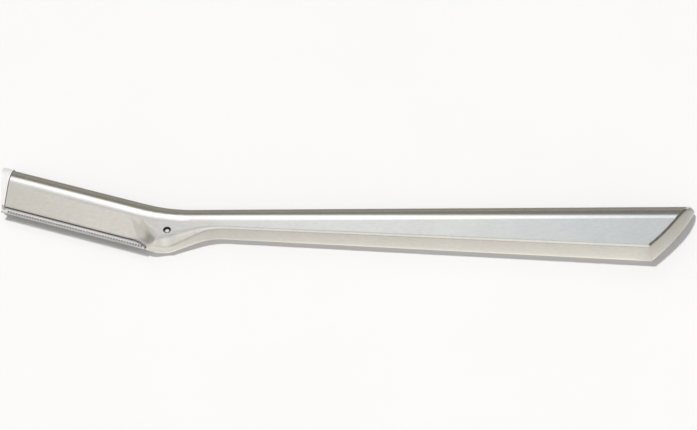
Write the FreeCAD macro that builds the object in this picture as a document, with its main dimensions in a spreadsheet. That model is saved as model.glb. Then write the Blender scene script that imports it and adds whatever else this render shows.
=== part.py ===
import FreeCAD, Part
import math
import os

import Sketcher

# Eyebrow razor with a slide-in blade cartridge, in millimetres and degrees.
# The razor lies on its underside, z = 0. The neck pin's axis is x = 0, y = 0, the handle runs
# along +X, and the head turns from it by the bend, with the cutting edge towards -Y.
# The head's pieces are drawn in the head's own frame: -X to the tip, -Y to the edge.

SIZES = {
    # plan of the body: edges by their distance from the pin axis and their angle
    "bend_angle": 18.0,
    "bend_round": 33.0,
    "back_line": 8.52,
    "back_taper": 0.2,
    "head_back": 8.15,
    "handle_reach": 113.1,
    "end_slant": 38.6,
    "end_bow": 58.0,
    "end_draft": 10.5,
    "front_taper": 3.77,
    "front_line": 1.2,
    "neck_flare": 25.9,
    "neck_line": 3.21,
    "neck_round": 12.0,
    "foot_round": 4.0,
    "heel_start": 5.2,
    "heel_drop": 1.07,
    "heel_flare": 27.0,
    "heel_round_share": 0.35,
    "lip_round_share": 0.5,
    "lip_line": 3.42,
    "tip_reach": 36.6,
    "tip_slant": 13.5,
    # heights and roundings of the body
    "neck_height": 4.07,
    "top_tilt": 2.63,
    "back_round": 6.0,
    "low_round": 1.0,
    "edge_round": 0.6,
    "heel_top_round": 3.1,
    # head: cheeks that thin towards the edge, and the channel between them
    "blade_height": 1.95,
    "lip_thickness": 1.8,
    "cheek_top": 1.25,
    "ramp_start": 9.0,
    "ramp_length": 6.0,
    "ramp_skew": 39.5,
    "ramp_overshoot": 0.02,
    "key_width": 3.2,
    "key_thickness": 1.5,
    "key_end": 1.7,
    "mouth_thickness": 0.9,
    "mouth_end": 3.3,
    "slide_clearance": 0.05,
    # neck pin in its hole
    "pin_diameter": 1.0,
    "pin_seat": 0.8,
    "pin_recess": 0.3,
    "pin_dome": 0.12,
    "ring_diameter": 1.65,
    "ring_depth": 0.5,
    # blade carrier
    "fork_length": 1.2,
    "nose_length": 1.35,
    "nose_slant": 22.0,
    "nose_proud": 0.15,
    "nose_corner_share": 0.9,
    "nose_edge_round": 0.4,
    "nose_lift": 0.1,
    "nose_gap": 0.12,
    "web_setback": 1.4,
    # blade and guard
    "blade_thickness": 0.25,
    "blade_show": 1.0,
    "blade_bevel": 0.8,
    "blade_edge": 0.02,
    "blade_rear": 0.9,
    "blade_start": 3.4,
    "blade_tip_gap": 0.4,
    "guard_thickness": 0.1,
    "guard_clearance": 0.02,
    "guard_reach": 0.27,
    "tooth_pitch": 0.62,
    "tooth_gap": 0.36,
    "tooth_rim": 0.08,
    "tooth_depth": 0.62,
    "stake_diameter": 1.0,
    "stake_line": 0.2,
}
STAKES = 3
ROOM = 20.0  # how far a cutting tool reaches past the body
LONG_ROOM = 300.0
NEAR = 0.01  # points closer than this are the same point
OUTWARD, INWARD = 1, -1

doc = FreeCAD.newDocument("eyebrow_razor")
sheet = doc.addObject("Spreadsheet::Sheet", "sizes")
next_row = 1


def set_cell(alias, content):
    """Put one named value or formula on the sheet."""
    global next_row
    sheet.set("A%d" % next_row, alias)
    sheet.set("B%d" % next_row, content)
    sheet.setAlias("B%d" % next_row, alias)
    next_row += 1


def value(expression):
    """Work out an expression of sheet values."""
    return float(sheet.evalExpression(expression))


def meet(name, first, second):
    """Derived cells name_x, name_y: where two edges meet, each an (angle, distance) pair."""
    names = {"a1": first[0], "d1": first[1], "a2": second[0], "d2": second[1]}
    for axis, share in (("x", "cos"), ("y", "sin")):
        crossing = "=(({d1}) * %s({a2}) - ({d2}) * %s({a1})) / sin(({a2}) - ({a1}))" % (share, share)
        set_cell("%s_%s" % (name, axis), crossing.format(**names))
    doc.recompute()


def corner(name):
    return ("sizes.%s_x" % name, "sizes.%s_y" % name)


def fill_sheet():
    for alias, number in SIZES.items():
        set_cell(alias, str(number))
    doc.recompute()
    head_back = ("-bend_angle", "head_back")
    handle_back = ("-back_taper", "back_line")
    front = ("-front_taper", "front_line")
    neck = ("neck_flare", "-neck_line")
    heel = ("0", "heel_side")
    brow = ("-bend_angle - heel_flare", "-heel_start * sin(heel_flare) - lip_line * cos(heel_flare)")
    lip = ("-bend_angle", "-lip_line")
    tip = ("90 - bend_angle + tip_slant", "tip_reach * cos(tip_slant)")
    end = ("90 - end_slant", "back_line * cos(90 - end_slant) - handle_reach * sin(90 - end_slant)")
    beyond = (end[0], "%s - %g" % (end[1], ROOM / 2))
    set_cell("brow_length", "=heel_drop / sin(heel_flare)")
    set_cell("heel_along", "=heel_drop / tan(heel_flare) - heel_start")
    set_cell("heel_side", "=-heel_along * sin(bend_angle) - (lip_line + heel_drop) * cos(bend_angle)")
    set_cell("lip_round", "=lip_round_share * brow_length / tan(heel_flare / 2)")
    set_cell("heel_round", "=heel_round_share * brow_length / tan((bend_angle + heel_flare) / 2)")
    meet("tip_back", tip, head_back)
    meet("bend", head_back, handle_back)
    meet("end_back", handle_back, end)
    meet("end_front", end, front)
    meet("far_back", handle_back, beyond)
    meet("far_front", beyond, front)
    meet("neck", front, neck)
    meet("foot", neck, heel)
    meet("heel", heel, brow)
    meet("lip", brow, lip)
    meet("tip_lip", lip, tip)
    set_cell("end_middle_x", "=(end_back_x + end_front_x) / 2")
    set_cell("end_middle_y", "=(end_back_y + end_front_y) / 2")
    set_cell("end_half", "=sqrt((end_back_x - end_front_x) ^ 2 + (end_back_y - end_front_y) ^ 2) / 2")
    # section of the head, across its own frame: (y, z) points and heights
    set_cell("lip_top", "=blade_height + lip_thickness / 2")
    set_cell("lip_low", "=blade_height - lip_thickness / 2")
    set_cell("cheek_top_z", "=neck_height + cheek_top * tan(top_tilt)")
    set_cell("upper_slope", "=(cheek_top_z - lip_top) / (cheek_top + lip_line)")
    set_cell("lower_slope", "=lip_low / (cheek_top + lip_line)")
    set_cell("arc_y", "=head_back - back_round")
    set_cell("arc_z", "=neck_height + arc_y * tan(top_tilt) - back_round / cos(top_tilt)")
    set_cell("nose_arc", "=back_round + nose_proud")
    set_cell("nose_back", "=arc_y + sqrt(nose_arc ^ 2 - (arc_z - nose_lift) ^ 2)")
    set_cell("nose_width", "=nose_length + nose_back * (tan(nose_slant) - tan(tip_slant))")
    set_cell("nose_round", "=nose_corner_share * nose_width * tan((90 - nose_slant) / 2)")
    set_cell("cutting_edge", "=lip_line + blade_show")
    set_cell("stack_half", "=blade_thickness / 2 + guard_clearance + guard_thickness")
    set_cell("web_front", "=lip_line - web_setback")
    set_cell("blade_length", "=tip_reach - blade_tip_gap - blade_start")
    set_cell("stake_spacing", "=blade_length / %d" % STAKES)
    set_cell("stake_first", "=blade_start + stake_spacing / 2")
    doc.recompute()


def draw_outline(sketch, points, bows=None):
    """Closed clockwise outline through points given as expressions. bows: edge number to a radius
    expression and the side an edge bows to, OUTWARD or INWARD."""
    bows = bows or {}
    spots = [FreeCAD.Vector(value(x), value(y), 0) for x, y in points]
    count = len(spots)
    ends = []
    for i, start in enumerate(spots):
        finish = spots[(i + 1) % count]
        if i in bows:
            ends.append(add_bow(sketch, start, finish, *bows[i]))
        else:
            ends.append((sketch.addGeometry(Part.LineSegment(start, finish), False), 1, 2))
    for i in range(count):
        geometry, first, last = ends[i]
        following, following_first, following_last = ends[(i + 1) % count]
        sketch.addConstraint(Sketcher.Constraint("Coincident", geometry, last, following, following_first))
        for kind, expression, spot in zip(("DistanceX", "DistanceY"), points[i], (spots[i].x, spots[i].y)):
            bind_constraint(sketch, Sketcher.Constraint(kind, geometry, first, spot), expression)


def add_bow(sketch, start, finish, radius, side):
    """An arc from start to finish; returns it with the numbers of its first and last end point."""
    reach = value(radius)
    chord = finish - start
    half = chord.Length / 2
    inward = FreeCAD.Vector(chord.y, -chord.x, 0).normalize()
    middle = (start + finish) / 2 + inward * side * math.sqrt(reach ** 2 - half ** 2)
    circle = Part.Circle(middle, FreeCAD.Vector(0, 0, 1), reach)
    angles = [math.atan2(spot.y - middle.y, spot.x - middle.x) for spot in (finish, start)]
    arc = sketch.addGeometry(Part.ArcOfCircle(circle, *angles[::side]), False)
    bind_constraint(sketch, Sketcher.Constraint("Radius", arc, reach), radius)
    return (arc, 2, 1) if side == OUTWARD else (arc, 1, 2)


def bind_constraint(sketch, constraint, expression):
    number = sketch.addConstraint(constraint)
    sketch.setExpression("Constraints[%d]" % number, expression)


def draw_circle(sketch, x, y, radius):
    place = FreeCAD.Vector(value(x), value(y), 0)
    circle = sketch.addGeometry(Part.Circle(place, FreeCAD.Vector(0, 0, 1), value(radius)), False)
    bind_constraint(sketch, Sketcher.Constraint("Radius", circle, value(radius)), radius)
    bind_constraint(sketch, Sketcher.Constraint("DistanceX", circle, 3, place.x), x)
    bind_constraint(sketch, Sketcher.Constraint("DistanceY", circle, 3, place.y), y)


def rectangle(x_low, x_high, y_low, y_high):
    return [(x_low, y_high), (x_high, y_high), (x_high, y_low), (x_low, y_low)]


def origin_feature(body, role):
    return next(feature for feature in body.Origin.OriginFeatures if feature.Role == role)


def body_sketch(body, name, role, offset="0"):
    sketch = body.newObject("Sketcher::SketchObject", name)
    sketch.AttachmentSupport = [(origin_feature(body, role), "")]
    sketch.MapMode = "FlatFace"
    sketch.setExpression("AttachmentOffset.Base.z", offset)
    return sketch


def settle(feature):
    """Recompute, and stop at a feature that could not be made."""
    doc.recompute()
    if "Invalid" in feature.State or "Error" in feature.State:
        raise RuntimeError("%s failed: %s" % (feature.Label, feature.getStatusString()))
    return feature


def pad(body, name, sketch, length, reverse=False):
    feature = body.newObject("PartDesign::Pad", name)
    feature.Profile = sketch
    feature.setExpression("Length", length)
    feature.Reversed = reverse
    return settle(feature)


def pocket(body, name, sketch, length, reverse=False):
    """Cut a sketch's shape out of a body, and stop if it removes nothing."""
    before = body.Shape.Volume
    feature = body.newObject("PartDesign::Pocket", name)
    feature.Profile = sketch
    feature.setExpression("Length", length)
    feature.Reversed = reverse
    settle(feature)
    if body.Shape.Volume >= before:
        raise RuntimeError("%s cuts nothing" % name)
    return feature


def round_edges(body, name, base, radius, wanted):
    feature = body.newObject("PartDesign::Fillet", name)
    names = ["Edge%d" % number for number in edge_numbers(base.Shape, wanted)]
    feature.Base = (base, names)
    feature.setExpression("Radius", radius)
    return settle(feature)


def edge_numbers(shape, wanted):
    return [i + 1 for i, edge in enumerate(shape.Edges) if wanted(edge)]


def part_object(kind, name, **properties):
    thing = doc.addObject(kind, name)
    for key, item in properties.items():
        setattr(thing, key, item)
    return thing


def head_turn():
    """Placement of the head's frame."""
    turn = FreeCAD.Rotation(FreeCAD.Vector(0, 0, 1), -value("bend_angle"))
    return FreeCAD.Placement(FreeCAD.Vector(), turn)


def tilt(angle, y, z):
    """Placement turned about the head's length by an angle, at a height and a distance across."""
    return FreeCAD.Placement(FreeCAD.Vector(0, y, z), FreeCAD.Rotation(FreeCAD.Vector(1, 0, 0), angle))


def box(name, x_low, x_high, y_low, y_high, z_low, z_high):
    """Box between expressions, in the frame it is drawn in."""
    block = doc.addObject("Part::Box", name)
    sides = {"Length": (x_low, x_high), "Width": (y_low, y_high), "Height": (z_low, z_high)}
    for (side, (low, high)), axis in zip(sides.items(), "xyz"):
        block.setExpression(side, "(%s) - (%s)" % (high, low))
        block.setExpression("Placement.Base." + axis, low)
    return block


def cylinder(name, radius, low, high):
    rod = doc.addObject("Part::Cylinder", name)
    rod.setExpression("Radius", radius)
    rod.setExpression("Height", "(%s) - (%s)" % (high, low))
    rod.setExpression("Placement.Base.z", low)
    return rod


def middle_of(edge):
    return edge.valueAt((edge.FirstParameter + edge.LastParameter) / 2)


def is_upright(edge):
    first, last = edge.Vertexes[0].Point, edge.Vertexes[-1].Point
    return len(edge.Vertexes) == 2 and math.hypot(first.x - last.x, first.y - last.y) < NEAR


def upright_at(x, y):
    """A test for the upright edge at a plan point."""
    def wanted(edge):
        spot = middle_of(edge)
        return is_upright(edge) and math.hypot(spot.x - value(x), spot.y - value(y)) < NEAR
    return wanted


def room_block(name):
    """A block wider than the part that stands on the plane z = 0."""
    block = part_object("Part::Box", name, Length=LONG_ROOM, Width=LONG_ROOM, Height=ROOM)
    block.Placement.Base = FreeCAD.Vector(-LONG_ROOM / 2, -LONG_ROOM / 2, 0)
    return block


def handle_blank():
    """The body's plan, padded past its underside, with rounded corners and its top face cut at a tilt."""
    plan = doc.addObject("Sketcher::SketchObject", "body_plan")
    names = ("tip_back", "bend", "far_back", "far_front", "neck", "foot", "heel", "lip", "tip_lip")
    draw_outline(plan, [corner(name) for name in names])
    slab = part_object("Part::Extrusion", "body_slab", Base=plan, DirMode="Normal", Solid=True)
    slab.setExpression("LengthFwd", "sizes.neck_height + sizes.handle_reach * tan(sizes.top_tilt)")
    slab.setExpression("LengthRev", "sizes.back_round")
    settle(slab)

    rounded_corners = ("bend", "neck", "foot", "heel", "lip")
    rounded = part_object("Part::Fillet", "body_corners", Base=slab)
    rounded.Edges = [(number, value(name + "_round"), value(name + "_round")) for name in rounded_corners
                     for number in edge_numbers(slab.Shape, upright_at(*corner(name)))]
    settle(rounded)

    above = room_block("above_top_face")
    above.Placement = head_turn() * tilt(value("top_tilt"), 0, value("neck_height")) * above.Placement
    blank = part_object("Part::Cut", "body_blank", Base=rounded, Tool=above)
    return settle(blank)


def on_back(edge):
    """Whether an edge runs along the body's back, above or below."""
    spot = middle_of(edge)
    turned = head_turn().inverse().multVec(spot)
    across = turned.y if spot.x < 0 else spot.y
    return across > value("head_back") / 2 and not is_upright(edge)


def is_low(edge):
    return all(abs(vertex.Point.z) < NEAR for vertex in edge.Vertexes)


def is_high(edge):
    return all(vertex.Point.z > NEAR for vertex in edge.Vertexes)


def rounded_back(blank):
    """The back: one large rounding above, cut off by the flat underside, and a small one below."""
    upper = part_object("Part::Fillet", "body_back", Base=blank)
    upper.Edges = [(number, value("back_round"), value("back_round")) for number in
                   edge_numbers(blank.Shape, lambda edge: on_back(edge) and is_high(edge))]
    settle(upper)
    below = room_block("below_underside")
    below.Placement.Base.z = -ROOM
    flat = settle(part_object("Part::Cut", "body_flat", Base=upper, Tool=below))
    lower = part_object("Part::Fillet", "body_low_back", Base=flat)
    lower.Edges = [(number, value("low_round"), value("low_round")) for number in
                   edge_numbers(flat.Shape, lambda edge: on_back(edge) and is_low(edge))]
    return settle(lower)


def cut_end(body):
    """The slanted end: bowed in plan, and leaning in towards the top."""
    wide = "(sizes.end_half + %g)" % ROOM
    setback = "(sqrt(sizes.end_bow ^ 2 - sizes.end_half ^ 2) - sqrt(sizes.end_bow ^ 2 - %s ^ 2))" % wide

    def spot(along, out):
        """A point by its way along the end's chord from the middle, to the back, and out from it."""
        x = "sizes.end_middle_x + %s * sin(sizes.end_slant) + %s * cos(sizes.end_slant)" % (along, out)
        y = "sizes.end_middle_y + %s * cos(sizes.end_slant) - %s * sin(sizes.end_slant)" % (along, out)
        return (x, y)

    plan = doc.addObject("Sketcher::SketchObject", "end_plan")
    draw_outline(plan, [spot(wide, "%g" % ROOM), spot("-1 * " + wide, "%g" % ROOM),
                        spot("-1 * " + wide, "-1 * " + setback), spot(wide, "-1 * " + setback)],
                 {2: ("sizes.end_bow", INWARD)})
    tool = part_object("Part::Extrusion", "end_tool", Base=plan, DirMode="Custom", Solid=True)
    slant, draft = math.radians(value("end_slant")), math.radians(value("end_draft"))
    lean = math.sin(draft)
    tool.Dir = FreeCAD.Vector(-lean * math.cos(slant), lean * math.sin(slant), math.cos(draft))
    tool.LengthFwd = ROOM
    tool.LengthRev = ROOM
    settle(tool)
    return settle(part_object("Part::Cut", "body_with_end", Base=body, Tool=tool))


def heel_softness(x):
    """Radius of the top front edge: crisp along the handle, softest at the foot of the heel."""
    foot_x = value("foot_x")
    if x > foot_x:
        far_x, far_round = value("neck_x"), value("edge_round")
    else:
        far_x, far_round = value("heel_x"), value("heel_round") / 2
    share = max((far_x - x) / (far_x - foot_x), 0.0)
    return far_round + (value("heel_top_round") - far_round) * share


def on_front(edge):
    """Whether an edge runs along the front of the handle and the heel."""
    spot = middle_of(edge)
    past_lip = spot.x > value("lip_x") - value("heel_drop")
    return past_lip and spot.y < value("front_line") and not is_upright(edge)


def on_end(edge):
    """Whether an edge bounds the slanted end."""
    spot = middle_of(edge)
    reach = spot.x - (spot.y - value("back_line")) * value("tan(end_slant)")
    return reach > value("handle_reach") - value("neck_height")


def rounded_edges(back):
    """The small roundings of the front edges and the slanted end."""
    rounds = []
    for i, edge in enumerate(back.Shape.Edges):
        if on_end(edge):
            rounds.append((i + 1, value("edge_round"), value("edge_round")))
        elif on_front(edge) and is_low(edge):
            rounds.append((i + 1, value("edge_round"), value("edge_round")))
        elif on_front(edge):
            first, last = [edge.Vertexes[k].Point.x for k in (0, -1)]
            rounds.append((i + 1, heel_softness(first), heel_softness(last)))
    body = part_object("Part::Fillet", "body_edges", Base=back)
    body.Edges = rounds
    return settle(body)


def cheek_section(name, y, low, high, up):
    """One section of a cheek's tool: the cheek's height, then a soft rise to the heel."""
    start = "(sizes.ramp_start - (sizes.cheek_top - (%s)) * tan(sizes.ramp_skew))" % y
    half_run, half_rise = "sizes.ramp_length / 2", "((%s) - (%s)) / 2" % (high, low)
    radius = "((%s) ^ 2 + (%s) ^ 2) / (2 * abs(%s))" % (half_run, half_rise, half_rise)
    far, room = "-2 * sizes.tip_reach", "%g" % (ROOM * up)
    points = [
        (far, room),
        ("-1 * %s + sizes.ramp_length" % start, room),
        ("-1 * %s + sizes.ramp_length" % start, high),
        ("-1 * %s + %s" % (start, half_run), "(%s) + %s" % (low, half_rise)),
        ("-1 * " + start, low),
        (far, low),
    ]
    bows = {2: (radius, INWARD), 3: (radius, OUTWARD)}
    if up < 0:
        points.reverse()
        bows = {1: (radius, OUTWARD), 2: (radius, INWARD)}
    section = doc.addObject("Sketcher::SketchObject", name)
    section.Placement = tilt(90, value(y), 0)
    draw_outline(section, points, bows)
    return section


def cheek_tool(name, low, high, up):
    """What is cut off one side of the head; low and high are heights at the crease and past the lip."""
    over = "%d * sizes.ramp_overshoot" % up
    places = ("sizes.cheek_top", "-2 * sizes.lip_line")
    sections = [cheek_section("%s_section_%d" % (name, i + 1), y, low[i], "%s + %s" % (high[i], over), up)
                for i, y in enumerate(places)]
    return settle(part_object("Part::Loft", name, Sections=sections, Solid=True, Ruled=True))


def cheek_tools():
    """Both sides of the head thin from a crease to the lip."""
    upper_far = "sizes.lip_top - sizes.upper_slope * sizes.lip_line"
    lower_far = "sizes.lip_low + sizes.lower_slope * sizes.lip_line"
    face_far = "sizes.neck_height - 2 * sizes.lip_line * tan(sizes.top_tilt)"
    return [cheek_tool("upper_cheek", ("sizes.cheek_top_z", upper_far), ("sizes.cheek_top_z", face_far), 1),
            cheek_tool("lower_cheek", ("0", lower_far), ("0", "0"), -1)]


def channel_tools():
    """The stepped channel: a keyway past the pin and a thinner mouth, open at the tip."""
    far = "-2 * sizes.tip_reach"
    steps = {
        "keyway": ("sizes.key_end", "-sizes.key_width / 2", "sizes.key_width / 2", "sizes.key_thickness"),
        "mouth": ("-sizes.mouth_end", "-2 * sizes.cutting_edge", "0", "sizes.mouth_thickness"),
    }
    return [box(name, far, near, low, high, "sizes.blade_height - (%s) / 2" % thick,
                "sizes.blade_height + (%s) / 2" % thick)
            for name, (near, low, high, thick) in steps.items()]


def make_handle():
    solid = rounded_edges(cut_end(rounded_back(handle_blank())))
    head_cuts = part_object("Part::MultiFuse", "head_cuts", Shapes=cheek_tools() + channel_tools())
    settle(head_cuts)
    head_cuts.Placement = head_turn()
    shaped = part_object("Part::Cut", "body_with_channel", Base=solid, Tool=head_cuts)
    hole = cylinder("pin_hole", "sizes.pin_diameter / 2", "sizes.pin_seat", "2 * sizes.neck_height")
    ring = cylinder("pin_ring", "sizes.ring_diameter / 2", "sizes.neck_height - sizes.ring_depth",
                    "2 * sizes.neck_height")
    drilling = part_object("Part::Fuse", "pin_drilling", Base=hole, Tool=ring)
    handle = part_object("Part::Cut", "handle", Base=shaped, Tool=drilling)
    return settle(handle)


def make_neck_pin():
    body = doc.addObject("PartDesign::Body", "neck_pin")
    sketch = body_sketch(body, "pin_circle", "XY_Plane", "sizes.pin_seat")
    draw_circle(sketch, "0", "0", "sizes.pin_diameter / 2")
    shank = pad(body, "pin_shank", sketch, "sizes.neck_height - sizes.pin_recess - sizes.pin_seat")
    top = value("neck_height - pin_recess")
    round_edges(body, "pin_dome_round", shank, "sizes.pin_dome",
                lambda edge: abs(middle_of(edge).z - top) < NEAR)
    return body


def make_blade_carrier():
    """White plastic: the nose outside the tip, the bar in the keyway with its fork, and the web."""
    body = doc.addObject("PartDesign::Body", "blade_carrier")
    nose_plan(body)
    nose_trim(body)
    inside = "sizes.nose_gap + sizes.nose_length / 2 + sizes.tip_reach"
    key_half = "(sizes.key_width / 2 - sizes.slide_clearance)"
    bar_half = "(sizes.key_thickness / 2 - sizes.slide_clearance)"
    bar = body_sketch(body, "bar_section", "YZ_Plane", "sizes.fork_length")
    draw_outline(bar, rectangle("-" + key_half, key_half, "sizes.blade_height - " + bar_half,
                                "sizes.blade_height + " + bar_half))
    pad(body, "bar", bar, "sizes.fork_length + " + inside, True)
    web_half = "(sizes.mouth_thickness / 2 - sizes.slide_clearance)"
    web = body_sketch(body, "web_section", "YZ_Plane", "-sizes.blade_start")
    draw_outline(web, rectangle("-sizes.web_front", "0", "sizes.blade_height - " + web_half,
                                "sizes.blade_height + " + web_half))
    pad(body, "web", web, inside + " - sizes.blade_start", True)
    fork = body_sketch(body, "fork_slot", "XY_Plane")
    slot_half = "(sizes.pin_diameter / 2 + sizes.slide_clearance)"
    draw_outline(fork, rectangle("-" + slot_half, "2 * sizes.fork_length", "-" + slot_half, slot_half))
    pocket(body, "fork", fork, "2 * sizes.neck_height", True)
    slit_half = "(sizes.stack_half + sizes.guard_clearance)"
    slit = body_sketch(body, "blade_slit", "YZ_Plane", "-sizes.blade_start")
    draw_outline(slit, rectangle("-2 * sizes.cutting_edge", "sizes.blade_rear + sizes.guard_clearance",
                                 "sizes.blade_height - " + slit_half, "sizes.blade_height + " + slit_half))
    pocket(body, "slit", slit, "sizes.blade_length + sizes.guard_clearance")
    stakes = body_sketch(body, "stake_circles", "XY_Plane", "sizes.blade_height - " + slit_half)
    draw_stakes(stakes, "sizes.stake_diameter / 2")
    pad(body, "stakes", stakes, "2 * " + slit_half)
    return body


def nose_plan(body):
    """The nose seen from above, with its rounded back corner, against the slanted tip of the head."""
    plan = body_sketch(body, "nose_outline", "XY_Plane")
    back = "sizes.nose_back"
    front = "-sizes.lip_line - sizes.nose_proud"
    inner = "-sizes.tip_reach - sizes.nose_gap - (%s) * tan(sizes.tip_slant)"
    outer = "-sizes.tip_reach - sizes.nose_gap - sizes.nose_length - (%s) * tan(sizes.nose_slant)"
    draw_outline(plan, [(outer % back, back), (inner % back, back), (inner % front, front),
                        (outer % front, front)])
    nose = pad(body, "nose", plan, "2 * sizes.neck_height")
    rounded = round_edges(body, "nose_back_corner", nose, "sizes.nose_round",
                          upright_at(outer % back, back))
    round_edges(body, "nose_front_corner", rounded, "sizes.nose_edge_round",
                upright_at(outer % front, front))


def nose_trim(body):
    """Cut the nose to the head's own section, a little larger all round."""
    section = body_sketch(body, "nose_section", "YZ_Plane", "-sizes.tip_reach / 2")
    proud = "sizes.nose_proud"
    wide = "(sizes.head_back + 4 * sizes.nose_round)"
    draw_outline(section, rectangle("-" + wide, wide, "-" + wide, wide))
    outline = [
        ("-sizes.lip_line - " + proud, "sizes.lip_top + " + proud),
        ("sizes.cheek_top", "sizes.cheek_top_z + " + proud),
        ("sizes.arc_y", "sizes.arc_z + sizes.nose_arc"),
        ("sizes.nose_back", "sizes.nose_lift"),
        ("sizes.cheek_top", "sizes.nose_lift"),
        ("-sizes.lip_line - " + proud, "sizes.lip_low - " + proud),
    ]
    draw_outline(section, outline, {2: ("sizes.nose_arc", OUTWARD)})
    pocket(body, "nose_shape", section, "2 * sizes.tip_reach")


def draw_stakes(sketch, radius):
    for number in range(STAKES):
        along = "-sizes.stake_first - %d * sizes.stake_spacing" % number
        draw_circle(sketch, along, "-sizes.stake_line", radius)


def stake_holes(body):
    sketch = body_sketch(body, body.Label + "_stake_circles", "XY_Plane")
    draw_stakes(sketch, "sizes.stake_diameter / 2 + sizes.guard_clearance")
    return pocket(body, body.Label + "_stake_holes", sketch, "2 * sizes.blade_height", True)


def make_razor_blade():
    """Steel strip, ground from both sides to its edge, with holes for the carrier's stakes."""
    body = doc.addObject("PartDesign::Body", "razor_blade")
    section = body_sketch(body, "blade_section", "YZ_Plane", "-sizes.blade_start")
    middle = "sizes.blade_height"
    half = "sizes.blade_thickness / 2"
    thin = "sizes.blade_edge / 2"
    ground = "-sizes.cutting_edge + sizes.blade_bevel"
    draw_outline(section, [
        ("-sizes.cutting_edge", "%s + %s" % (middle, thin)),
        (ground, "%s + %s" % (middle, half)),
        ("sizes.blade_rear", "%s + %s" % (middle, half)),
        ("sizes.blade_rear", "%s - %s" % (middle, half)),
        (ground, "%s - %s" % (middle, half)),
        ("-sizes.cutting_edge", "%s - %s" % (middle, thin)),
    ])
    pad(body, "blade_strip", section, "sizes.blade_length", True)
    stake_holes(body)
    return body


def make_skin_guard():
    """Foil folded round the blade, with a row of slots behind the fold's rim."""
    body = doc.addObject("PartDesign::Body", "skin_guard")
    fold_front = "-sizes.cutting_edge - sizes.guard_reach - sizes.guard_thickness"
    inner_half = "(sizes.blade_thickness / 2 + sizes.guard_clearance)"
    outer = body_sketch(body, "guard_outside", "YZ_Plane", "-sizes.blade_start")
    draw_outline(outer, rectangle(fold_front, "sizes.blade_rear", "sizes.blade_height - sizes.stack_half",
                                  "sizes.blade_height + sizes.stack_half"))
    block = pad(body, "guard_block", outer, "sizes.blade_length", True)

    def along_fold(edge):
        return abs(middle_of(edge).y - value(fold_front)) < NEAR and edge.Length > value("tooth_pitch")

    round_edges(body, "guard_fold", block, "sizes.stack_half - sizes.blade_edge / 4", along_fold)
    inner = body_sketch(body, "guard_inside", "YZ_Plane", "-sizes.blade_start")
    draw_outline(inner, rectangle("-sizes.cutting_edge - sizes.guard_reach", "2 * sizes.blade_rear",
                                  "sizes.blade_height - " + inner_half, "sizes.blade_height + " + inner_half))
    pocket(body, "guard_hollow", inner, "2 * sizes.blade_length")
    stake_holes(body)
    slot = body_sketch(body, "slot_outline", "XY_Plane")
    first = "(-sizes.blade_start - sizes.tooth_pitch)"
    draw_outline(slot, rectangle(first + " - sizes.tooth_gap", first, fold_front + " + sizes.tooth_rim",
                                 fold_front + " + sizes.tooth_depth"))
    first_slot = pocket(body, "slot", slot, "2 * sizes.blade_height", True)
    row = body.newObject("PartDesign::LinearPattern", "slots")
    row.Originals = [first_slot]
    row.Direction = (origin_feature(body, "X_Axis"), [""])
    row.Reversed = True
    row.setExpression("Occurrences", "floor(sizes.blade_length / sizes.tooth_pitch) - 2")
    row.setExpression("Length", "(floor(sizes.blade_length / sizes.tooth_pitch) - 3) * sizes.tooth_pitch")
    body.Tip = row
    settle(row)
    return body


def check_document():
    for thing in doc.Objects:
        if "Invalid" in thing.State or "Error" in thing.State:
            raise RuntimeError("%s failed: %s" % (thing.Label, thing.State))


def write_parts(pieces):
    doc.recompute()
    check_document()
    for piece in pieces:
        if piece.Shape.isNull() or not piece.Shape.isValid() or piece.Shape.Volume <= 0:
            raise RuntimeError("%s has no sound solid" % piece.Label)
    os.makedirs("parts", exist_ok=True)
    for piece in pieces:
        piece.Shape.exportStep("parts/%s.step" % piece.Label)
        print(piece.Label, len(piece.Shape.Solids), "solid", round(piece.Shape.Volume, 3), "mm3")


def main():
    fill_sheet()
    in_head = [make_blade_carrier(), make_razor_blade(), make_skin_guard()]
    for piece in in_head:
        piece.Placement = head_turn()
    write_parts([make_handle(), make_neck_pin()] + in_head)


main()
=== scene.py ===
import math

import bpy
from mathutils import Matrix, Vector

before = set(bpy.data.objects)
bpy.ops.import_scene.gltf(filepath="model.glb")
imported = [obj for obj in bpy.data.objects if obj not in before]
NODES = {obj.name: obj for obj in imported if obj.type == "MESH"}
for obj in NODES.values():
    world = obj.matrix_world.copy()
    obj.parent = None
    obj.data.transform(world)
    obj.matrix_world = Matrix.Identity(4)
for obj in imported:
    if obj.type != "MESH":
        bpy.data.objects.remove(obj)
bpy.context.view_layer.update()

# Looks, light and camera for the eyebrow razor, in the part's own frame: +X along the handle, +Y to the
# back, +Z up, with the neck pin over the origin. Lengths are in metres where nothing else is said.

MM = 0.001

# The photograph's frame and viewing angle
IMAGE_WIDTH = 697
ELEVATION = math.radians(50)
AIM = Vector((38.12, 5.79, 2.0)) * MM
PIXELS_PER_MM = 4.7
LENS_MM = 100.0
SENSOR_MM = 36.0
CLIP_NEAR, CLIP_FAR = 0.01, 10.0

# The head turns from the handle by this angle about the neck pin, which stands in a round recess
BEND = math.radians(18)
PIN_RECESS_RADIUS = 0.83 * MM

# Where the head's ramp runs into the heel the casting is polished soft; other edges are crisp
SOFT_SPOT = Vector((-4.8, -2.8, 2.6)) * MM
SOFT_NEAR, SOFT_FAR = 1.8 * MM, 4.2 * MM
SOFT_ROUND, CRISP_ROUND = 1.2 * MM, 0.06 * MM
EDGE_SAMPLES = 8

# The foil's hollow, by its height and its front in the head's own frame
FOIL_HEIGHT = 1.95 * MM
FOIL_HALF = 0.2 * MM
FOIL_INNER_FRONT = -4.71 * MM

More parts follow.
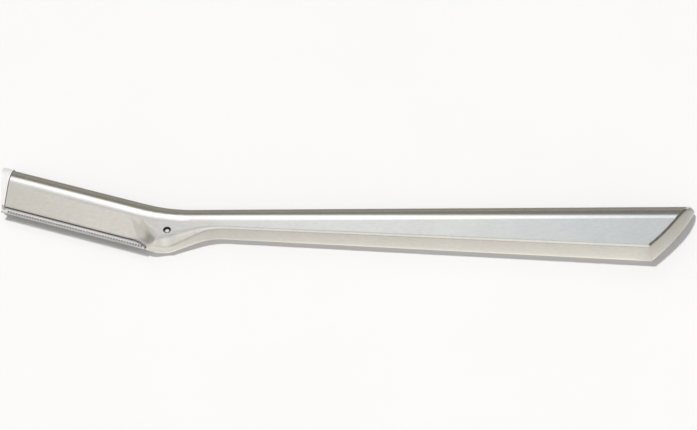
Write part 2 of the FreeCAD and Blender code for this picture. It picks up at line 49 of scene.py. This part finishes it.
# Unevenness of the surfaces: sizes along each axis in millimetres, and how far colour and sheen stray
BRUSHED_MM = (4.0, 0.06, 0.06)
CLOUD_MM = (7, 7, 7)
MOTTLE_MM = (0.9, 0.5, 0.5)
PLASTIC_CLOUD_MM = (3, 3, 3)
PEEL_MM = (0.25, 0.25, 0.25)
TABLE_CLOUD_MM = (40, 40, 40)
MOTTLE_STRAY = 0.07
SHEEN_STRAY = 0.18
GRAIN_STRENGTH, PEEL_STRENGTH = 0.12, 0.15
RELIEF_DEPTH = 0.02 * MM
TONE_STOPS = (0.3, 0.7)


def new_material(name):
    material = bpy.data.materials.new(name)
    material.use_nodes = True
    tree = material.node_tree
    return material, tree, tree.nodes["Principled BSDF"]


def add_node(tree, kind, **inputs):
    """A shader node with some of its sockets set by name."""
    node = tree.nodes.new(kind)
    for socket, setting in inputs.items():
        node.inputs[socket.replace("_", " ")].default_value = setting
    return node


def object_space(tree, size_mm, turn=0.0):
    """Coordinates on the piece, turned about Z and stretched per axis."""
    place = tree.nodes.new("ShaderNodeTexCoord")
    mapping = tree.nodes.new("ShaderNodeMapping")
    mapping.vector_type = "TEXTURE"
    mapping.inputs["Rotation"].default_value = (0.0, 0.0, turn)
    mapping.inputs["Scale"].default_value = [size * MM for size in size_mm]
    tree.links.new(place.outputs["Object"], mapping.inputs["Vector"])
    return mapping.outputs["Vector"]


def noise(tree, vector, detail):
    texture = add_node(tree, "ShaderNodeTexNoise", Scale=1.0, Detail=detail, Roughness=0.55)
    tree.links.new(vector, texture.inputs["Vector"])
    return texture.outputs["Fac"]


def remap(tree, source, low, high, from_low=0.0, from_high=1.0, curve="LINEAR"):
    """A value that goes from low to high while its source crosses a span."""
    node = tree.nodes.new("ShaderNodeMapRange")
    node.interpolation_type = curve
    node.inputs["From Min"].default_value = from_low
    node.inputs["From Max"].default_value = from_high
    node.inputs["To Min"].default_value = low
    node.inputs["To Max"].default_value = high
    tree.links.new(source, node.inputs["Value"])
    return node.outputs["Result"]


def two_tone(tree, source, dark, light):
    ramp = tree.nodes.new("ShaderNodeValToRGB")
    for element, stop, color in zip(ramp.color_ramp.elements, TONE_STOPS, (dark, light)):
        element.position = stop
        element.color = (*color, 1.0)
    tree.links.new(source, ramp.inputs["Fac"])
    return ramp.outputs["Color"]


def bump(tree, heights, strength):
    node = add_node(tree, "ShaderNodeBump", Strength=strength, Distance=RELIEF_DEPTH)
    tree.links.new(heights, node.inputs["Height"])
    return node.outputs["Normal"]


def mix_colors(tree, share, first, second, blend="MIX"):
    """Two colours by a share; each may be a socket or a fixed value."""
    node = tree.nodes.new("ShaderNodeMix")
    node.data_type = "RGBA"
    node.blend_type = blend
    sockets = [socket for socket in node.inputs if socket.enabled]
    for socket, item in zip(sockets, (share, first, second)):
        if hasattr(item, "links"):
            tree.links.new(item, socket)
        else:
            socket.default_value = item
    return next(socket for socket in node.outputs if socket.enabled)


def soften_edges(tree, shader):
    """Round the look of the edges under the bump, widest at the soft spot."""
    place = tree.nodes.new("ShaderNodeTexCoord")
    away = tree.nodes.new("ShaderNodeVectorMath")
    away.operation = "DISTANCE"
    away.inputs[1].default_value = SOFT_SPOT
    tree.links.new(place.outputs["Object"], away.inputs[0])
    edges = tree.nodes.new("ShaderNodeBevel")
    edges.samples = EDGE_SAMPLES
    radius = remap(tree, away.outputs["Value"], SOFT_ROUND, CRISP_ROUND, SOFT_NEAR, SOFT_FAR, "SMOOTHSTEP")
    tree.links.new(radius, edges.inputs["Radius"])
    relief = shader.inputs["Normal"].links[0].from_node
    tree.links.new(edges.outputs["Normal"], relief.inputs["Normal"])


def metal(name, dark, light, roughness, grain_mm, grain_turn=0.0):
    """Metal with fine streaks along its grain, cloudy colour and an uneven sheen."""
    material, tree, shader = new_material(name)
    shader.inputs["Metallic"].default_value = 1.0
    streaks = noise(tree, object_space(tree, grain_mm, grain_turn), detail=3.0)
    clouds = noise(tree, object_space(tree, CLOUD_MM), detail=5.0)
    mottle = noise(tree, object_space(tree, MOTTLE_MM, grain_turn), detail=3.0)
    stain = remap(tree, mottle, 1 - MOTTLE_STRAY, 1 + MOTTLE_STRAY)
    tone = mix_colors(tree, 1.0, two_tone(tree, clouds, dark, light), stain, "MULTIPLY")
    sheen = remap(tree, streaks, roughness * (1 - SHEEN_STRAY), roughness * (1 + SHEEN_STRAY))
    tree.links.new(tone, shader.inputs["Base Color"])
    tree.links.new(sheen, shader.inputs["Roughness"])
    tree.links.new(bump(tree, streaks, GRAIN_STRENGTH), shader.inputs["Normal"])
    return material


def satin_metal():
    """The casting, brushed along the handle, with softened edges."""
    material = metal("satin_metal", dark=(0.69, 0.68, 0.655), light=(0.72, 0.712, 0.685),
                     roughness=0.16, grain_mm=BRUSHED_MM)
    soften_edges(material.node_tree, material.node_tree.nodes["Principled BSDF"])
    return material


def painted_shade_metal():
    """Painted shade: dark metal for the pin's recess and the foil's hollow, which lie in shade."""
    return metal("painted_shade_metal", dark=(0.14, 0.14, 0.14), light=(0.22, 0.22, 0.22),
                 roughness=0.35, grain_mm=(0.3, 0.3, 0.3))


def pin_steel():
    return metal("pin_steel", dark=(0.62, 0.62, 0.61), light=(0.72, 0.72, 0.71),
                 roughness=0.25, grain_mm=(0.2, 0.2, 2.0))


def blade_steel():
    """Ground across its edge; its colour is darkened as painted shade from the guard that covers it."""
    return metal("blade_steel", dark=(0.34, 0.345, 0.35), light=(0.42, 0.425, 0.43),
                 roughness=0.22, grain_mm=(0.05, 3.0, 3.0), grain_turn=-BEND)


def guard_steel():
    """Brushed along the head."""
    return metal("guard_steel", dark=(0.79, 0.79, 0.80), light=(0.85, 0.85, 0.86),
                 roughness=0.24, grain_mm=BRUSHED_MM, grain_turn=-BEND)


def white_plastic():
    """Moulded white plastic with a slight orange peel and faint cloudiness."""
    material, tree, shader = new_material("white_plastic")
    shader.inputs["Subsurface Weight"].default_value = 0.15
    shader.inputs["Subsurface Radius"].default_value = (0.8 * MM, 0.8 * MM, 0.7 * MM)
    shader.inputs["IOR"].default_value = 1.5
    clouds = noise(tree, object_space(tree, PLASTIC_CLOUD_MM), detail=4.0)
    peel = noise(tree, object_space(tree, PEEL_MM), detail=2.0)
    tone = two_tone(tree, clouds, dark=(0.57, 0.575, 0.57), light=(0.62, 0.62, 0.61))
    tree.links.new(tone, shader.inputs["Base Color"])
    tree.links.new(remap(tree, clouds, low=0.28, high=0.42), shader.inputs["Roughness"])
    tree.links.new(bump(tree, peel, PEEL_STRENGTH), shader.inputs["Normal"])
    return material


def paint(node, material):
    mesh = NODES[node].data
    mesh.materials.clear()
    mesh.materials.append(material)
    for polygon in mesh.polygons:
        polygon.material_index = 0


def paint_inside(node, material, is_inside):
    """Give the faces whose middle passes a test a material of their own."""
    mesh = NODES[node].data
    mesh.materials.append(material)
    for polygon in mesh.polygons:
        if is_inside(polygon.center):
            polygon.material_index = len(mesh.materials) - 1


def in_pin_recess(spot):
    return spot.xy.length < PIN_RECESS_RADIUS


def in_foil(spot):
    across = spot.x * math.sin(BEND) + spot.y * math.cos(BEND)
    return abs(spot.z - FOIL_HEIGHT) < FOIL_HALF and across > FOIL_INNER_FRONT


def paint_all():
    paint("handle", satin_metal())
    # The pin's recess and the foil's hollow get a dark metal as painted shade.
    painted_shade = painted_shade_metal()
    paint_inside("handle", painted_shade, in_pin_recess)
    paint("neck_pin", pin_steel())
    paint("blade_carrier", white_plastic())
    # The blade's steel is darkened as painted shade from the guard over it.
    paint("razor_blade", blade_steel())
    paint("skin_guard", guard_steel())
    paint_inside("skin_guard", painted_shade, in_foil)


# The stage's flat pieces lie just under the part; their lengths are in millimetres
TABLE_REACH = 1500
TABLE_HEIGHT, CARD_HEIGHT = -0.02, -0.01
FLAG_REACH = 260
FLAG_CORNERS = ((-FLAG_REACH, 90), (0, 6), (111.5, 6), (165, FLAG_REACH), (-FLAG_REACH, FLAG_REACH))


def flat_piece(name, corners, height):
    mesh = bpy.data.meshes.new(name)
    mesh.from_pydata([(x * MM, y * MM, height * MM) for x, y in corners], [], [range(len(corners))])
    thing = bpy.data.objects.new(name, mesh)
    bpy.context.scene.collection.objects.link(thing)
    return thing


def pale_table():
    """Matt and very slightly cloudy."""
    material, tree, shader = new_material("pale_table")
    clouds = noise(tree, object_space(tree, TABLE_CLOUD_MM), detail=4.0)
    tone = two_tone(tree, clouds, dark=(0.63, 0.63, 0.637), light=(0.64, 0.64, 0.647))
    tree.links.new(tone, shader.inputs["Base Color"])
    shader.inputs["Roughness"].default_value = 0.9
    shader.inputs["Specular IOR Level"].default_value = 0.1
    return material


def add_floor():
    reach = TABLE_REACH
    corners = [(-reach, -reach), (reach, -reach), (reach, reach), (-reach, reach)]
    floor = flat_piece("floor", corners, TABLE_HEIGHT)
    floor.data.materials.append(pale_table())


def hide_from_all_but_reflections(card):
    card.visible_camera = False
    card.visible_diffuse = False
    card.visible_shadow = False
    card.visible_transmission = False


def dark_card():
    material, _, shader = new_material("dark_card")
    shader.inputs["Base Color"].default_value = (0.215, 0.205, 0.18, 1.0)
    shader.inputs["Roughness"].default_value = 1.0
    return material


def add_dark_flag():
    """Dark studio card behind the razor, for the rounded back to mirror."""
    flag = flat_piece("dark_flag", FLAG_CORNERS, CARD_HEIGHT)
    flag.data.materials.append(dark_card())
    hide_from_all_but_reflections(flag)


# The front card's edge runs under the razor's front, from the tip round the heel to the slanted end:
# each point's place in millimetres, its way out, and its brightness near the razor and farther out
CARD_POINTS = (
    ((-38.0, 9.0), (-0.31, -0.95), 0.62, 0.62),
    ((-9.0, -0.6), (-0.31, -0.95), 0.66, 0.66),
    ((-6.0, -2.3), (-0.2, -1.0), 1.0, 1.22),
    ((0.5, -2.3), (0.2, -1.0), 1.04, 1.25),
    ((9.0, 1.5), (0.2, -1.0), 0.90, 0.92),
    ((30.0, 0.0), (0.2, -1.0), 1.01, 1.01),
    ((98.0, -4.5), (0.2, -1.0), 1.09, 1.09),
    ((101.6, -4.5), (1.0, -0.7), 0.93, 0.93),
    ((112.2, 8.0), (1.0, -0.5), 0.65, 0.65),
    ((112.6, 12.0), (1.0, 0.8), 0.53, 0.53),
)
# Each ring's reach from that edge in millimetres and its glow; rings closer than CARD_NEAR are near
CARD_RINGS = ((0.0, 1.3), (1.1, 1.25), (1.7, 1.02), (3.9, 0.89), (7.4, 0.76), (300.0, 0.70))
CARD_NEAR = 2.0
CARD_TINT = (0.90, 0.875, 0.82, 1.0)


def front_card_glow():
    """Shines as strongly as the glow kept on the card's points."""
    material, tree, shader = new_material("front_card_glow")
    shader.inputs["Base Color"].default_value = (0.0, 0.0, 0.0, 1.0)
    shader.inputs["Specular IOR Level"].default_value = 0.0
    shader.inputs["Emission Color"].default_value = CARD_TINT
    glow = tree.nodes.new("ShaderNodeAttribute")
    glow.attribute_name = "glow"
    tree.links.new(glow.outputs["Fac"], shader.inputs["Emission Strength"])
    return material


def add_front_card():
    """Glowing card on the table in front, seen only in reflections: the front wall and the end mirror it
    instead of the shadow.
    """
    spots = []
    glows = []
    for reach, glow in CARD_RINGS:
        for (x, y), (out_x, out_y), near, far in CARD_POINTS:
            spots.append(((x + out_x * reach) * MM, (y + out_y * reach) * MM, CARD_HEIGHT * MM))
            glows.append(glow * (near if reach < CARD_NEAR else far))
    count = len(CARD_POINTS)
    corners = [ring * count + i for ring in range(len(CARD_RINGS) - 1) for i in range(count - 1)]
    mesh = bpy.data.meshes.new("front_card")
    mesh.from_pydata(spots, [], [(k, k + 1, k + count + 1, k + count) for k in corners])
    mesh.attributes.new("glow", "FLOAT", "POINT").data.foreach_set("value", glows)
    mesh.materials.append(front_card_glow())
    card = bpy.data.objects.new("front_card", mesh)
    bpy.context.scene.collection.objects.link(card)
    hide_from_all_but_reflections(card)


# The ceiling's colour from left to right, by how far a direction points along +X
CEILING = (
    (-0.50, (0.80, 0.78, 0.73)),
    (-0.31, (0.77, 0.74, 0.70)),
    (-0.255, (1.12, 1.075, 1.02)),
    (-0.20, (0.80, 0.785, 0.77)),
    (-0.155, (0.69, 0.685, 0.68)),
    (-0.11, (0.86, 0.86, 0.87)),
    (-0.05, (1.04, 1.06, 1.08)),
    (0.04, (0.96, 0.98, 1.00)),
    (0.11, (0.76, 0.81, 0.85)),
    (0.16, (0.66, 0.71, 0.75)),
    (0.22, (0.84, 0.84, 0.83)),
    (0.36, (0.70, 0.69, 0.67)),
    (0.50, (0.40, 0.39, 0.37)),
)

# How much of that is left straight overhead, from left to right
OVERHEAD = (
    (-0.50, (1.0, 1.0, 1.0)),
    (-0.12, (1.0, 1.0, 1.0)),
    (-0.06, (0.74, 0.73, 0.72)),
    (0.00, (0.76, 0.75, 0.74)),
    (0.06, (0.88, 0.86, 0.84)),
    (0.14, (0.98, 0.95, 0.92)),
    (0.50, (1.0, 1.0, 1.0)),
)

# The backdrop to the left and to the right, the wall on the right, and white where nothing is dimmed
BACKDROP_LEFT = (0.29, 0.27, 0.225, 1.0)
BACKDROP_RIGHT = (0.235, 0.23, 0.21, 1.0)
RIGHT_WALL = (0.16, 0.155, 0.145, 1.0)
WHITE = (1.0, 1.0, 1.0, 1.0)

# The light in front from left to right, which the rounded front edge mirrors
FRONT = (
    (-0.50, (0.90, 0.87, 0.82)),
    (-0.20, (0.99, 0.96, 0.91)),
    (0.00, (1.09, 1.07, 1.03)),
    (0.20, (1.00, 0.98, 0.94)),
    (0.50, (0.88, 0.86, 0.82)),
)

# Those three tables start and end this far to either side
HALF_WAY = 0.5

# Axes along which the surroundings change
RIGHTWARD, BACKWARD, UPWARD = (1, 0, 0), (0, 1, 0), (0, 0, 1)
BACKDROP_RISE = (-0.9, 0, 1)
LEFT_LEAN = (1, 0, 0.9)

# Spans over which each part of the surroundings gives way to the next, by how far a direction points
# along its axis, with the bank's gain, how far it drops to the left, and how dim the left side gets
BANK_GAIN, BANK_SPAN = 1.75, (0.70, 0.81)
LEFT_DROP, LEFT_DROP_SPAN = 0.07, (-0.14, -0.03)
OVERHEAD_SPAN = (0.90, 0.96)
ABOVE_BACKDROP_SPAN = (0.345, 0.575)
BACKDROP_SPAN = (-0.02, 0.16)
LEFT_DIM, LEFT_SPAN = 0.42, (0.0, 0.32)
MIDDLE_SPAN = (-0.3, -0.12)
RIGHT_WALL_SPAN = (0.45, 0.75)
FRONT_SPAN = (-0.45, -0.2)


def along(tree, direction, axis):
    """How far a direction points along an axis."""
    node = tree.nodes.new("ShaderNodeVectorMath")
    node.operation = "DOT_PRODUCT"
    node.inputs[1].default_value = axis
    tree.links.new(direction, node.inputs[0])
    return node.outputs["Value"]


def color_across(tree, direction, stops):
    """A colour by how far a direction points along +X, from half left to half right."""
    ramp = tree.nodes.new("ShaderNodeValToRGB")
    elements = ramp.color_ramp.elements
    for element, (place, color) in zip(elements, (stops[0], stops[-1])):
        element.position = place + HALF_WAY
        element.color = (*color, 1.0)
    for place, color in stops[1:-1]:
        elements.new(place + HALF_WAY).color = (*color, 1.0)
    sideways = along(tree, direction, RIGHTWARD)
    tree.links.new(remap(tree, sideways, 0.0, 1.0, -HALF_WAY, HALF_WAY), ramp.inputs["Fac"])
    return ramp.outputs["Color"]


def ceiling_color(tree, direction):
    """The ceiling: brighter in a bank low down, which ends lower to the left, and dimmer overhead."""
    height = along(tree, direction, UPWARD)
    sideways = along(tree, direction, RIGHTWARD)
    raised = tree.nodes.new("ShaderNodeMath")
    tree.links.new(height, raised.inputs[0])
    tree.links.new(remap(tree, sideways, LEFT_DROP, 0.0, *LEFT_DROP_SPAN), raised.inputs[1])
    bank = remap(tree, raised.outputs["Value"], BANK_GAIN, 1.0, *BANK_SPAN, "SMOOTHSTEP")
    dimmed = color_across(tree, direction, OVERHEAD)
    overhead = mix_colors(tree, remap(tree, height, 0.0, 1.0, *OVERHEAD_SPAN), WHITE, dimmed)
    lit = mix_colors(tree, 1.0, color_across(tree, direction, CEILING), bank, "MULTIPLY")
    return mix_colors(tree, 1.0, lit, overhead, "MULTIPLY")


def add_world():
    """Studio surroundings: a bright front and, behind, a low backdrop, the ceiling and darker sides."""
    world = bpy.data.worlds.new("studio")
    world.use_nodes = True
    bpy.context.scene.world = world
    tree = world.node_tree
    direction = tree.nodes.new("ShaderNodeTexCoord").outputs["Generated"]
    sideways = along(tree, direction, RIGHTWARD)
    rise = along(tree, direction, BACKDROP_RISE)
    above_backdrop = remap(tree, rise, 0.0, 1.0, *ABOVE_BACKDROP_SPAN, "SMOOTHSTEP")
    to_right = remap(tree, sideways, 0.0, 1.0, *BACKDROP_SPAN)
    backdrop = mix_colors(tree, to_right, BACKDROP_LEFT, BACKDROP_RIGHT)
    behind = mix_colors(tree, above_backdrop, backdrop, ceiling_color(tree, direction))
    left_side = remap(tree, along(tree, direction, LEFT_LEAN), LEFT_DIM, 1.0, *LEFT_SPAN)
    middle = remap(tree, sideways, 0.0, 1.0, *MIDDLE_SPAN)
    left_side = mix_colors(tree, 1.0, left_side, middle, "LIGHTEN")
    right_side = remap(tree, sideways, 0.0, 1.0, *RIGHT_WALL_SPAN)
    behind = mix_colors(tree, 1.0, behind, left_side, "MULTIPLY")
    behind = mix_colors(tree, right_side, behind, RIGHT_WALL)
    to_back = remap(tree, along(tree, direction, BACKWARD), 0.0, 1.0, *FRONT_SPAN)
    surroundings = mix_colors(tree, to_back, color_across(tree, direction, FRONT), behind)
    background = tree.nodes["Background"]
    tree.links.new(surroundings, background.inputs["Color"])
    background.inputs["Strength"].default_value = 1.0


# The key light, and the way to it
KEY_STRENGTH = 2.85
KEY_SPREAD = math.radians(4)
TO_KEY = Vector((-0.36, 0.25, 1.0))


def add_key_light():
    """The key casts the shadow, from high up behind and to the left."""
    light = bpy.data.lights.new("key", "SUN")
    light.energy = KEY_STRENGTH
    light.angle = KEY_SPREAD
    thing = bpy.data.objects.new("key", light)
    bpy.context.scene.collection.objects.link(thing)
    thing.rotation_mode = "QUATERNION"
    thing.rotation_quaternion = TO_KEY.normalized().to_track_quat("Z", "Y")
    thing.visible_glossy = False


def add_camera():
    data = bpy.data.cameras.new("camera")
    data.lens = LENS_MM
    data.sensor_width = SENSOR_MM
    camera = bpy.data.objects.new("camera", data)
    bpy.context.scene.collection.objects.link(camera)
    focal_pixels = IMAGE_WIDTH * LENS_MM / SENSOR_MM
    distance = focal_pixels / PIXELS_PER_MM * MM
    back = Vector((0.0, -math.cos(ELEVATION), math.sin(ELEVATION)))
    camera.location = AIM + back * distance
    camera.rotation_mode = "QUATERNION"
    camera.rotation_quaternion = (-back).to_track_quat("-Z", "Y")
    data.clip_start = CLIP_NEAR
    data.clip_end = CLIP_FAR
    bpy.context.scene.camera = camera


bpy.context.scene.view_settings.view_transform = "Standard"
paint_all()
add_floor()
add_dark_flag()
add_front_card()
add_world()
add_key_light()
add_camera()
